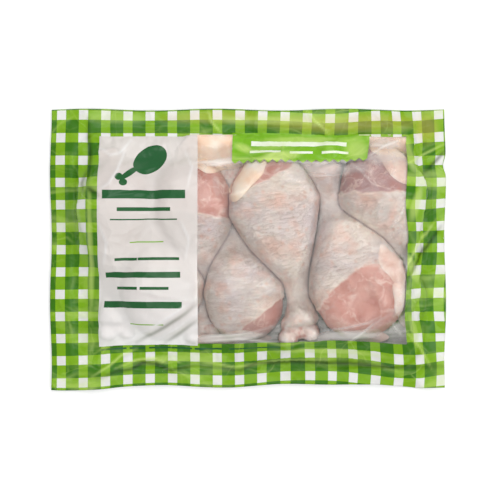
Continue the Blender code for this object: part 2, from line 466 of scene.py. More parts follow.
def make_scrap(name, spec, ground, materials, seed):
    """A soft scrap of fat or skin lying over the legs, following them underneath."""
    (middle_x, middle_y), length, width, turn, height = spec
    turn = math.radians(turn)
    rings, sides = 26, 56
    reach = np.sin(np.linspace(0, math.pi / 2, rings + 1))[1:]
    angle = np.linspace(0, 2 * math.pi, sides, endpoint=False)
    rim = 1.0 + 0.16 * np.sin(2 * angle + seed) + 0.09 * np.sin(5 * angle + 2 * seed)
    out = reach[:, None] * rim[None, :]
    local_x = out * np.cos(angle) * length / 2
    local_y = out * np.sin(angle) * width / 2
    x = middle_x + local_x * math.cos(turn) - local_y * math.sin(turn)
    y = middle_y + local_x * math.sin(turn) + local_y * math.cos(turn)
    x, y = np.clip(x, -SCRAP_REACH[0], SCRAP_REACH[0]), np.clip(y, -SCRAP_REACH[1], SCRAP_REACH[1])
    dome = np.sqrt(np.clip(1 - reach**2, 0, 1))[:, None] + 0 * x
    bed = sample(ground, x, y)
    bed = np.maximum(bed, SCRAP_LOWEST)
    flat = np.stack([x, y, 0 * x], axis=-1)
    lumpy = 1.0 + 0.25 * lumps(flat, 7.0, seed + 60)
    top = bed + 0.3 + (height - 4.0) * dome * lumpy
    low = bed - 4.0 * dome
    upper = np.stack([x, y, top], axis=-1)
    under = np.stack([x, y, low], axis=-1)[:-1]
    centre_bed = max(float(sample(ground, np.array([middle_x]), np.array([middle_y]))[0]), SCRAP_LOWEST)
    caps = np.array([[middle_x, middle_y, centre_bed + height - 3.7], [middle_x, middle_y, centre_bed - 4.0]])
    points = np.vstack([upper.reshape(-1, 3), under.reshape(-1, 3), caps])
    upper_grid = np.arange(rings * sides).reshape(rings, sides)
    under_grid = np.vstack(
        [rings * sides + np.arange((rings - 1) * sides).reshape(rings - 1, sides), upper_grid[-1:]]
    )
    faces = []
    for grid, centre, way in ((upper_grid, len(points) - 2, 1), (under_grid, len(points) - 1, -1)):
        beside = np.roll(grid, -1, axis=1)
        quads = np.stack([grid[:-1], grid[1:], beside[1:], beside[:-1]], axis=-1).reshape(-1, 4)
        faces += quads[:, ::way].tolist()
        faces += [[centre, grid[0, j], beside[0, j]][::way] for j in range(sides)]
    scrap = link_mesh(name, points, faces, materials)
    fix_normals(scrap)
    return scrap


def fix_normals(piece):
    """Points every face of a closed body outwards."""
    shape = bmesh.new()
    shape.from_mesh(piece.data)
    bmesh.ops.recalc_face_normals(shape, faces=shape.faces)
    shape.to_mesh(piece.data)
    shape.free()


# ---------------------------------------------------------------- the film


def pocket_distance(x, y):
    """Distance inside the pocket's rounded outline, less than 0 outside it."""
    over_x = np.abs(x) - (POCKET_LENGTH / 2 - POCKET_CORNER)
    over_y = np.abs(y) - (POCKET_WIDTH / 2 - POCKET_CORNER)
    outside = np.hypot(np.maximum(over_x, 0.0), np.maximum(over_y, 0.0))
    return POCKET_CORNER - outside - np.minimum(np.maximum(over_x, over_y), 0.0)


def film_grid():
    """The flat sheet as a grid, and the same grid with its cut edges drawn in here and there."""
    columns, rows = round(PACK_LENGTH / CELL), round(PACK_WIDTH / CELL)
    along, across = np.meshgrid(
        np.linspace(-0.5, 0.5, columns + 1), np.linspace(-0.5, 0.5, rows + 1), indexing="ij"
    )
    turn = 2.0 * math.pi / EDGE_WAVER_LENGTH
    x = along * (PACK_LENGTH - 2 * EDGE_WAVER)
    y = across * (PACK_WIDTH - 2 * EDGE_WAVER)
    pull_x = EDGE_WAVER * np.sin(y * turn + 1.0)
    pull_x += NOTCH_DEPTH * np.exp(-(((y - NOTCH_AT) / NOTCH_LENGTH) ** 2)) * (along > 0)
    pull_x *= (np.abs(along) * 2.0) ** 16 * np.sign(along)
    pull_y = EDGE_WAVER * np.sin(x * turn) * (np.abs(across) * 2.0) ** 8 * np.sign(across)
    table = np.array(BOTTOM_PULL)
    fine = np.arange(-170.0, 171.0)
    smoothed = np.convolve(np.interp(fine, table[:, 0], table[:, 1]), np.hanning(17) / 8.0, mode="same")
    pull_y -= np.interp(x, fine, smoothed) * smooth_step((-y - 52.0) / 36.0)
    return x, y, x - pull_x, y - pull_y


def height_map(pieces, spacing):
    """Heights of the pieces' tops on a square raster over the pack, 0 where there are none."""
    points, faces, base = [], [], 0
    for piece in pieces:
        mesh = piece.data
        points += [v.co / MM for v in mesh.vertices]
        faces += [[base + i for i in f.vertices] for f in mesh.polygons]
        base += len(mesh.vertices)
    tree = BVHTree.FromPolygons(points, faces)
    xs = np.arange(-PACK_LENGTH / 2, PACK_LENGTH / 2 + spacing, spacing)
    ys = np.arange(-PACK_WIDTH / 2, PACK_WIDTH / 2 + spacing, spacing)
    heights = np.zeros((len(xs), len(ys)))
    down = Vector((0, 0, -1))
    for i, x in enumerate(xs):
        for j, y in enumerate(ys):
            hit = tree.ray_cast(Vector((x, y, 200.0)), down)[0]
            if hit is not None:
                heights[i, j] = hit.z
    return xs, ys, heights


def spread_out(raster):
    """The same raster with each height carried to the points beside it."""
    xs, ys, heights = raster
    padded = np.pad(heights, 1, mode="edge")
    near = [
        padded[i : i + heights.shape[0], j : j + heights.shape[1]] for i in range(3) for j in range(3)
    ]
    return xs, ys, np.maximum.reduce(near)


def sample(raster, x, y):
    """Heights read from a raster between its points."""
    xs, ys, heights = raster
    i = np.clip((x - xs[0]) / (xs[1] - xs[0]), 0, len(xs) - 1.001)
    j = np.clip((y - ys[0]) / (ys[1] - ys[0]), 0, len(ys) - 1.001)
    low_i, low_j = i.astype(int), j.astype(int)
    part_i, part_j = i - low_i, j - low_j
    near = heights[low_i, low_j] * (1 - part_j) + heights[low_i, low_j + 1] * part_j
    far = heights[low_i + 1, low_j] * (1 - part_j) + heights[low_i + 1, low_j + 1] * part_j
    return near * (1 - part_i) + far * part_i


def weld_heights(x, y):
    """Heights of the welded edge, from the frame's own solid."""
    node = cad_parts["sealed_pack"]
    tree = BVHTree.FromPolygons(
        [v.co / MM for v in node.data.vertices], [list(f.vertices) for f in node.data.polygons]
    )
    heights = np.zeros(x.shape)
    flat = np.stack([x, y, 0 * x], axis=-1)
    on_side = smooth_step((np.abs(x) - PACK_LENGTH / 2 + PACK_WIDTH / 2 - np.abs(y)) / 30.0 + 0.5)
    across_side = lumps(flat * [0.22, 1.0, 1.0], PUCKER_LENGTH, 11)
    across_end = lumps(flat * [1.0, 0.22, 1.0], PUCKER_LENGTH, 12)
    pucker = PUCKER_HEIGHT * (on_side * across_side + (1 - on_side) * across_end)
    for index in np.argwhere(pocket_distance(x, y) < 3.0):
        i, j = index
        top = tree.ray_cast(Vector((x[i, j], y[i, j], 200.0)), Vector((0, 0, -1)))[0]
        if top is None:
            top = tree.find_nearest(Vector((x[i, j], y[i, j], 3.0)))[0]
        heights[i, j] = top.z - 0.6
    return np.maximum(heights + pucker, 0.75)


def back_height(x, y):
    """Height of the back film, which rises to the weld round the pocket's edge."""
    return 0.6 + BACK_RISE * np.clip(1.0 - pocket_distance(x, y) / 15.0, 0.0, 1.0) ** 2


def crease_heights(x, y):
    """How far the creases lift the film at each point, where ridges whiten it, partly stress whitening and
    partly painted glints, and where valleys darken it with painted shade.
    """
    total, whitening_and_glint, shaded = np.zeros_like(x), np.zeros_like(x), np.zeros_like(x)
    for points, half_width, height in CREASES:
        nearest = np.full(x.shape, 1e9)
        fade = np.zeros_like(x)
        lengths = [math.dist(a, b) for a, b in zip(points, points[1:])]
        done = 0.0
        for (ax, ay), (bx, by), length in zip(points, points[1:], lengths):
            part = np.clip(((x - ax) * (bx - ax) + (y - ay) * (by - ay)) / length**2, 0, 1)
            away = np.hypot(x - ax - part * (bx - ax), y - ay - part * (by - ay))
            closer = away < nearest
            nearest = np.where(closer, away, nearest)
            fade = np.where(closer, (done + part * length) / sum(lengths), fade)
            done += length
        fade = np.sin(math.pi * np.clip(fade, 0.04, 0.96)) ** 0.5
        total += height * np.exp(-nearest / half_width) * fade
        # Ridges mark partly stress whitening and partly painted glints; valleys mark painted shade.
        mark = np.exp(-((nearest / (1.0 if height > 0 else 1.5)) ** 2)) * fade * min(abs(height) / 1.5, 1.0)
        if height > 0:
            whitening_and_glint = np.maximum(whitening_and_glint, mark)
        else:
            shaded = np.maximum(shaded, mark)
    return total, whitening_and_glint, shaded


def settle_film(film, rest_slack, meat, behind, free):
    """Lets the slack front film down onto the meat: it may buckle but not stretch."""
    pairs = []

    def add_pairs(step_i, step_j, stiffness):
        """Pairs of points a fixed step apart, in groups that share no point."""
        rows, columns = film.shape[:2]
        parity = 2 if step_i + abs(step_j) < 2 or step_i == abs(step_j) else 4
        for phase in range(parity):
            i = np.arange(rows - step_i)[:, None]
            j = np.arange(max(0, -step_j), columns - max(0, step_j))[None, :]
            counted = (i if step_i else j) // max(step_i, abs(step_j), 1)
            chosen = np.broadcast_to(counted % 2 == phase % 2, (i.size, j.size))
            if parity == 4:
                chosen = chosen & ((i if step_i else j) % 2 == phase // 2)
            a_i, a_j = np.nonzero(chosen)
            a_j = a_j + max(0, -step_j)
            first, second = (a_i, a_j), (a_i + step_i, a_j + step_j)
            gap = np.linalg.norm(film[second] - film[first], axis=1)
            slack = (rest_slack[first] + rest_slack[second]) / 2
            moves = free[first] | free[second]
            first = tuple(k[moves] for k in first)
            second = tuple(k[moves] for k in second)
            share = np.stack([free[first], free[second]]).astype(float)
            share /= np.maximum(share.sum(0), 1.0)
            pairs.append((first, second, gap[moves] * (1 + slack[moves]), share, stiffness))

    for step_i, step_j, stiffness in ((1, 0, 0.9), (0, 1, 0.9), (1, 1, 0.35), (1, -1, 0.35)):
        add_pairs(step_i, step_j, stiffness)
    for step_i, step_j, stiffness in ((2, 0, 0.16), (0, 2, 0.16)):
        add_pairs(step_i, step_j, stiffness)
    for turn in range(SETTLING_PASSES):
        film[..., 2] -= np.where(free, 0.012, 0.0)
        for first, second, rest, share, stiffness in pairs:
            apart = film[second] - film[first]
            gap = np.linalg.norm(apart, axis=1)
            fix = apart * (stiffness * (gap - rest) / np.maximum(gap, 1e-6))[:, None]
            film[first] += fix * share[0][:, None]
            film[second] -= fix * share[1][:, None]
        if turn % 4 == 0:
            floor = np.maximum(
                sample(meat, film[..., 0], film[..., 1]), sample(behind, film[..., 0], film[..., 1])
            )
            floor = floor + FILM_GAP
            film[..., 2] = np.where(free, np.maximum(film[..., 2], floor), film[..., 2])
    return film


def make_films(meat, materials):
    """Front and back film, welded round the edge into one closed envelope."""
    flat_x, flat_y, x, y = film_grid()
    inside = pocket_distance(x, y)
    free = inside > 0.0
    weld = weld_heights(x, y)
    seeds = lumps(np.stack([x, y, 0 * x], axis=-1), 7.0, 2)
    back = back_height(x, y) - 0.15 * (1 - seeds)
    back = np.where(free, np.maximum(back, 0.3), weld - 0.3)
    xs = np.arange(-PACK_LENGTH / 2, PACK_LENGTH / 2 + 1.0, 1.0)
    ys = np.arange(-PACK_WIDTH / 2, PACK_WIDTH / 2 + 1.0, 1.0)
    behind = spread_out((xs, ys, back_height(*np.meshgrid(xs, ys, indexing="ij"))))
    meat_top = np.maximum(sample(meat, x, y), back) + FILM_GAP
    top = np.where(free, np.maximum(meat_top, 8.0), weld)
    pull = CLING * CELL**2 / 4.0
    for _ in range(1500):
        spread = top.copy()
        spread[1:-1, 1:-1] = (
            top[:-2, 1:-1] + top[2:, 1:-1] + top[1:-1, :-2] + top[1:-1, 2:]
        ) / 4.0 - pull
        top = np.where(free, np.maximum(meat_top, spread), weld)
    film = np.stack([x, y, top], axis=-1)
    near_edge = np.exp(-np.clip(inside, 0, None) / 14.0)
    slack = SLACK_MIDDLE + (SLACK_EDGE - SLACK_MIDDLE) * near_edge
    film[..., 2] += np.where(free, 0.5 * seeds * smooth_step(inside / 6.0), 0.0)
    film = settle_film(film, slack, meat, behind, free)
    lift, whitening_and_glint, shaded = crease_heights(x, y)
    film[..., 2] += lift
    floor = np.maximum(sample(meat, film[..., 0], film[..., 1]), sample(behind, film[..., 0], film[..., 1]))
    floor = np.where(free, floor, back) + FILM_GAP
    film[..., 2] = np.maximum(film[..., 2], floor)
    bridged = film[..., 2] - floor
    back = np.stack([x, y, back], axis=-1)
    rows, columns = x.shape
    count = rows * columns
    grid = np.arange(count).reshape(rows, columns)
    front_faces = np.stack([grid[:-1, :-1], grid[1:, :-1], grid[1:, 1:], grid[:-1, 1:]], axis=-1)
    back_faces = (front_faces + count)[..., ::-1]
    rim = [grid[:, 0], grid[-1, 1:], grid[-2::-1, -1], grid[0, -2:0:-1]]
    rim = np.concatenate(rim)
    after = np.roll(rim, -1)
    rim_faces = np.stack([after, rim, rim + count, after + count], axis=-1)
    faces = np.vstack([front_faces.reshape(-1, 4), back_faces.reshape(-1, 4), rim_faces])
    points = np.vstack([film.reshape(-1, 3), back.reshape(-1, 3)])
    envelope = link_mesh("film_envelope", points, faces.tolist(), materials)
    kinds = np.zeros(len(faces), np.int32)
    kinds[front_faces.shape[0] * front_faces.shape[1] :] = 1
    envelope.data.polygons.foreach_set("material_index", kinds)
    waver = 0.3 + 2.4 * smooth_step((x + 30.0) / 140.0)
    flat = np.stack([x, y, 0 * x], axis=-1)
    sheet_x = (flat_x + waver * 1.8 * lumps(flat, WAVER_LENGTH, 31)).ravel() * MM
    sheet_y = (flat_y + waver * 1.8 * lumps(flat, WAVER_LENGTH, 32)).ravel() * MM
    add_uv(envelope.data, "sheet", np.tile(sheet_x, 2), np.tile(sheet_y, 2))
    add_attribute(envelope.data, "whitening_and_glint", np.append(whitening_and_glint.ravel(), 0 * whitening_and_glint.ravel()))
    add_attribute(envelope.data, "shaded", np.append(shaded.ravel(), 0 * shaded.ravel()))
    add_attribute(envelope.data, "bridged", np.append(bridged.ravel(), 0 * bridged.ravel()))
    fix_normals(envelope)
    return envelope


# ---------------------------------------------------------------- materials of the meat


def skin_and_flesh():
    """Raw poultry skin over raw flesh, both moist, parted along the skin's torn edge."""
    material, tree, output = empty_material("raw_chicken_skin_and_flesh")
    place = add_node(tree, "ShaderNodeTexCoord").outputs["Object"]
    edge = add_node(tree, "ShaderNodeAttribute", attribute_name="skin_edge").outputs["Fac"]
    leg_uv = add_node(tree, "ShaderNodeUVMap", uv_map="leg").outputs["UV"]

    contact = add_node(tree, "ShaderNodeAttribute", attribute_name="contact").outputs["Fac"]

    tone = add_node(tree, "ShaderNodeTexNoise", {"Vector": place, "Scale": 26.0, "Detail": 3.0})
    skin = colour_ramp(
        tree, tone.outputs["Fac"],
        [(0.32, "#DDD1D0"), (0.44, "#E4D9D4"), (0.56, "#E9DED6"), (0.68, "#F0E4D9")],
    )
    blotch = add_node(tree, "ShaderNodeTexNoise", {"Vector": place, "Scale": 62.0, "Detail": 4.0})
    flush = colour_ramp(tree, blotch.outputs["Fac"], [(0.49, 0.0), (0.68, 0.6)])
    skin = mix_colour(tree, flush, skin, linear("#E8BFAE"))

    fibre_place = add_node(tree, "ShaderNodeMapping", {"Vector": leg_uv, "Scale": (90.0, 420.0, 1.0)})
    fibres = add_node(
        tree, "ShaderNodeTexNoise", {"Vector": fibre_place.outputs[0], "Scale": 1.0, "Detail": 3.0}
    )
    depth = add_node(
        tree, "ShaderNodeTexNoise", {"Vector": place, "Scale": 48.0, "Detail": 4.0, "Roughness": 0.6}
    )
    flesh = colour_ramp(
        tree, depth.outputs["Fac"],
        [(0.34, "#CE9488"), (0.46, "#D8A599"), (0.58, "#E0B4A8"), (0.70, "#E9C8BC")],
    )
    purple = add_node(tree, "ShaderNodeAttribute", attribute_name="purple").outputs["Fac"]
    flesh = mix_colour(tree, purple, flesh, linear("#AF9192"))
    streak = add_node(
        tree, "ShaderNodeMapRange", {"Value": fibres.outputs["Fac"], "From Min": 0.35, "From Max": 0.65,
                                     "To Min": 0.0, "To Max": 0.3}
    ).outputs["Result"]
    flesh = mix_colour(tree, streak, flesh, linear("#CF9C92"))
    sinew = add_node(
        tree, "ShaderNodeTexNoise", {"Vector": place, "Scale": 70.0, "Detail": 5.0, "Distortion": 0.8}
    )
    sheen = colour_ramp(tree, sinew.outputs["Fac"], [(0.54, 0.0), (0.66, 0.6)])
    flesh = mix_colour(tree, sheen, flesh, linear("#F1DED5"))

    bent = add_node(
        tree, "ShaderNodeVectorMath", {0: sinew.outputs["Color"], 1: (0.03, 0.03, 0.03), 2: place},
        operation="MULTIPLY_ADD",
    ).outputs[0]
    seams = add_node(
        tree, "ShaderNodeTexVoronoi", {"Vector": bent, "Scale": 38.0}, feature="DISTANCE_TO_EDGE"
    )
    seam = colour_ramp(tree, seams.outputs["Distance"], [(0.0, 0.55), (0.035, 0.0)])
    flesh = mix_colour(tree, seam, flesh, linear("#F0DCD2"))
    bloody = colour_ramp(tree, blotch.outputs["Fac"], [(0.30, 0.55), (0.46, 0.0)])
    flesh = mix_colour(tree, bloody, flesh, linear("#BC7C70"))

    on_skin = add_node(
        tree, "ShaderNodeMapRange", {"Value": edge, "From Min": -0.7, "From Max": 1.3}
    ).outputs["Result"]
    rim = add_node(
        tree, "ShaderNodeMapRange",
        {"Value": edge, "From Min": 0.2, "From Max": 3.5, "To Min": 0.45, "To Max": 0.0}
    ).outputs["Result"]
    skin = mix_colour(tree, rim, skin, linear("#F8EDE0"))

    follicle = add_node(
        tree, "ShaderNodeTexVoronoi", {"Vector": place, "Scale": 310.0, "Randomness": 0.8}, feature="F1"
    )
    pimple = colour_ramp(tree, follicle.outputs["Distance"], [(0.0, 1.0), (0.4, 0.0)])
    crease_place = add_node(
        tree, "ShaderNodeMapping", {"Vector": leg_uv, "Rotation": (0, 0, 0.5), "Scale": (400.0, 170.0, 1.0)}
    )
    crease = add_node(
        tree, "ShaderNodeTexNoise",
        {"Vector": crease_place.outputs[0], "Scale": 1.0, "Detail": 5.0, "Roughness": 0.65,
         "Distortion": 0.9},
    )
    lines = colour_ramp(tree, crease.outputs["Fac"], [(0.455, 0.0), (0.50, 1.0), (0.545, 0.0)])
    # Painted shade in the skin's fine creases.
    painted_crease_shade = add_node(tree, "ShaderNodeMath", {0: lines, 1: 0.17}, operation="MULTIPLY").outputs[0]
    skin = mix_colour(tree, painted_crease_shade, skin, linear("#B3948C"))
    freckle = add_node(
        tree, "ShaderNodeTexVoronoi", {"Vector": place, "Scale": 145.0, "Randomness": 1.0}, feature="F1"
    )
    freckled = colour_ramp(tree, freckle.outputs["Distance"], [(0.08, 0.36), (0.30, 0.0)])
    skin = mix_colour(tree, freckled, skin, linear("#E5B49E"))
    colour = mix_colour(tree, on_skin, flesh, skin)
    # Darker where the legs touch: painted shade in the gaps between them, with the juice that gathers there.
    contact_shade_and_juice = add_node(tree, "ShaderNodeMath", {0: contact, 1: 0.68}, operation="MULTIPLY").outputs[0]
    colour = mix_colour(tree, contact_shade_and_juice, colour, linear("#9A8086"))
    relief = mix_colour(tree, 0.5, lines, pimple)
    skin_bump = add_node(tree, "ShaderNodeBump", {"Height": relief, "Strength": 0.6, "Distance": 0.0006})
    flesh_bump = add_node(
        tree, "ShaderNodeBump", {"Height": fibres.outputs["Fac"], "Strength": 0.3, "Distance": 0.0006}
    )
    normal = add_node(
        tree, "ShaderNodeMix",
        {0: on_skin, 4: flesh_bump.outputs["Normal"], 5: skin_bump.outputs["Normal"]}, data_type="VECTOR",
    ).outputs[1]
    shader = add_node(
        tree, "ShaderNodeBsdfPrincipled",
        {"Base Color": colour, "Roughness": 0.5, "IOR": 1.35, "Normal": normal,
         "Subsurface Weight": 0.12, "Subsurface Radius": (0.006, 0.0025, 0.0015), "Subsurface Scale": 1.0},
    )
    tree.links.new(shader.outputs[0], output.inputs["Surface"])
    return material


def moist_tissue(name, stops, lump_scale, bump_strength, bump_depth, green_reach):
    """Soft wet tissue, lumpy and shaded through a run of colours."""
    material, tree, output = empty_material(name)
    place = add_node(tree, "ShaderNodeTexCoord").outputs["Object"]
    tone = add_node(tree, "ShaderNodeTexNoise", {"Vector": place, "Scale": lump_scale, "Detail": 4.0})
    colour = colour_ramp(tree, tone.outputs["Fac"], stops)
    bump = add_node(
        tree, "ShaderNodeBump",
        {"Height": tone.outputs["Fac"], "Strength": bump_strength, "Distance": bump_depth},
    )
    shader = add_node(
        tree, "ShaderNodeBsdfPrincipled",
        {"Base Color": colour, "Roughness": 0.45, "IOR": 1.35, "Normal": bump.outputs["Normal"],
         "Subsurface Weight": 0.12, "Subsurface Radius": (0.006, green_reach, 0.002),
         "Subsurface Scale": 1.0},
    )
    tree.links.new(shader.outputs[0], output.inputs["Surface"])
    return material


def cartilage():
    """Wet cartilage and scraps of skin over the knuckle: milky, with a red marrow tinge."""
    stops = [(0.34, "#D09A90"), (0.44, "#E2CBC2"), (0.56, "#ECDDD6"), (0.68, "#F4EAE4")]
    return moist_tissue("knuckle_cartilage", stops, 120.0, 0.3, 0.001, 0.003)


def cream_fat():
    """Soft raw fat, cream with a peach tinge."""
    stops = [(0.32, "#F2D0B6"), (0.46, "#FADFC8"), (0.58, "#FDEBDA"), (0.70, "#FEF4E8")]
    return moist_tissue("raw_poultry_fat", stops, 70.0, 0.35, 0.0012, 0.004)


def loose_skin():
    """Loose raw skin, pale pink."""
    stops = [(0.32, "#E0BFB1"), (0.46, "#EAD2C7"), (0.58, "#F2E4DB"), (0.70, "#F8F0E9")]
    return moist_tissue("raw_loose_skin", stops, 70.0, 0.35, 0.0012, 0.004)


# ---------------------------------------------------------------- the print

CHECK_PITCH_X, CHECK_PITCH_Y = 16.93, 16.88
WHITE_COLUMN_AT, WHITE_ROW_AT = -141.7, 101.7
WHITE_SQUARE = 7.0
LABEL = (-112.6, -37.9, -74.3, 86.0)
WINDOW = (-37.9, 119.5, -72.5, 86.5)
BANNER = (-12.1, 90.5, 68.0, 89.0)
ZIGZAG_PITCH, ZIGZAG_DEPTH = 6.5, 2.6
WELD_BARS = (-135.0, -121.0, 135.0, 127.0)
DARK_INK = "#1F5A2E"
LIME_INK = "#8CBF3F"
# Bars in place of words on the label: middle x and y, length, height
LABEL_BARS = (
    (-78.0, 41.5, 62.0, 6.4), (-78.0, 30.5, 40.0, 2.8), (-78.0, 23.0, 50.0, 1.0),
    (-91.5, -6.5, 17.0, 2.2), (-67.0, -6.5, 31.0, 2.2), (-79.0, -18.5, 56.0, 4.4),
    (-90.5, -28.5, 16.0, 2.2), (-70.0, -28.5, 21.0, 2.2), (-79.0, -41.0, 58.0, 5.0),
)
LABEL_RULES = ((-76.0, 6.2, 25.0, 0.9), (-76.0, -56.0, 25.0, 0.9))
BANNER_BARS = (
    (38.5, 80.8, 72.0, 3.6), (13.5, 74.6, 24.0, 1.9), (41.0, 74.0, 17.0, 1.9), (66.0, 73.4, 20.0, 1.9),
)
EDGE_BARS = (
    (-101.5, -76.8, 19.5, 1.5), (-83.5, -76.8, 12.0, 1.5), (-58.5, -76.8, 32.5, 1.5),
    (-30.0, -76.8, 20.5, 1.5), (5.0, -77.0, 38.0, 1.1),
)
# A plain leg pictogram on the label: middle, half length, half width, turn in degrees
PICTOGRAM = (
    ((-74.0, 68.0), 14.0, 9.5, 35.0), ((-89.0, 57.5), 9.0, 2.2, 35.0),
    ((-97.0, 54.6), 3.0, 2.6, 0.0), ((-93.8, 50.4), 3.0, 2.6, 0.0),
)


def sheet_place(tree):
    """Place on the flat sheet in millimetres, as x and y."""
    uv = add_node(tree, "ShaderNodeUVMap", uv_map="sheet").outputs["UV"]
    scaled = add_node(tree, "ShaderNodeVectorMath", {0: uv, "Scale": 1000.0}, operation="SCALE")
    apart = add_node(tree, "ShaderNodeSeparateXYZ", {0: scaled.outputs[0]})
    return scaled.outputs[0], apart.outputs["X"], apart.outputs["Y"]


def field(tree, x, y, left, right, bottom, top):
    """1 inside a rectangle of the sheet and 0 outside it."""
    masks = [
        add_node(
            tree, "ShaderNodeMath", {0: value, 1: (low + high) / 2, 2: (high - low) / 2}, operation="COMPARE"
        ).outputs[0]
        for value, low, high in ((x, left, right), (y, bottom, top))
    ]
    return add_node(tree, "ShaderNodeMath", {0: masks[0], 1: masks[1]}, operation="MULTIPLY").outputs[0]


def strongest(tree, masks):
    """The largest of several values at each point."""
    total = masks[0]
    for mask in masks[1:]:
        total = add_node(tree, "ShaderNodeMath", {0: total, 1: mask}, operation="MAXIMUM").outputs[0]
    return total


def bars(tree, x, y, sizes):
    """1 on any of several bars, given by middle, length and height."""
    return strongest(tree, [
        field(
            tree, x, y, middle_x - length / 2, middle_x + length / 2,
            middle_y - height / 2, middle_y + height / 2,
        )
        for middle_x, middle_y, length, height in sizes
    ])


def ellipse_distance(tree, place, middle, half_length, half_width, turn):
    """Distance from an ellipse's middle, 1 on its outline."""
    moved = add_node(
        tree, "ShaderNodeMapping",
        {"Vector": place, "Location": (*middle, 0), "Rotation": (0, 0, math.radians(turn)),
         "Scale": (half_length, half_width, 1)}, vector_type="TEXTURE",
    ).outputs[0]
    return add_node(tree, "ShaderNodeVectorMath", {0: moved}, operation="LENGTH").outputs["Value"]


def soft_spots(tree, place, sizes):
    """The strongest of several ellipses, each fading from its strength at the middle to 0."""
    return strongest(tree, [
        add_node(
            tree, "ShaderNodeMapRange",
            {"Value": ellipse_distance(tree, place, *ellipse), "From Min": 0.35, "From Max": 1.15,
             "To Min": strength, "To Max": 0.0},
            interpolation_type="SMOOTHSTEP",
        ).outputs["Result"]
        for *ellipse, strength in sizes
    ])


def spots(tree, place, sizes):
    """1 on any of several ellipses, given by middle, half length, half width and turn."""
    return strongest(tree, [
        add_node(
            tree, "ShaderNodeMath", {0: ellipse_distance(tree, place, *ellipse), 1: 1.0},
            operation="LESS_THAN",
        ).outputs[0]
        for ellipse in sizes
    ])


def stripe(tree, value, first, pitch, width):
    """1 on evenly spaced stripes across a value."""
    shifted = add_node(tree, "ShaderNodeMath", {0: value, 1: first}, operation="SUBTRACT").outputs[0]
    away = add_node(tree, "ShaderNodeMath", {0: shifted, 1: pitch / 2}, operation="PINGPONG").outputs[0]
    return add_node(tree, "ShaderNodeMath", {0: away, 1: width / 2}, operation="LESS_THAN").outputs[0]


def checks(tree, x, y):
    """Green checks: dark where two stripes cross, lighter under one, white under none."""
    column = stripe(tree, x, WHITE_COLUMN_AT, CHECK_PITCH_X, WHITE_SQUARE)
    row = stripe(tree, y, WHITE_ROW_AT, CHECK_PITCH_Y, WHITE_SQUARE)
    either = add_node(tree, "ShaderNodeMath", {0: column, 1: row}, operation="MAXIMUM").outputs[0]
    both = add_node(tree, "ShaderNodeMath", {0: column, 1: row}, operation="MULTIPLY").outputs[0]
    colour = mix_colour(tree, either, linear("#367200"), linear("#78A80E"))
    return mix_colour(tree, both, colour, linear("#E0E0DD"))


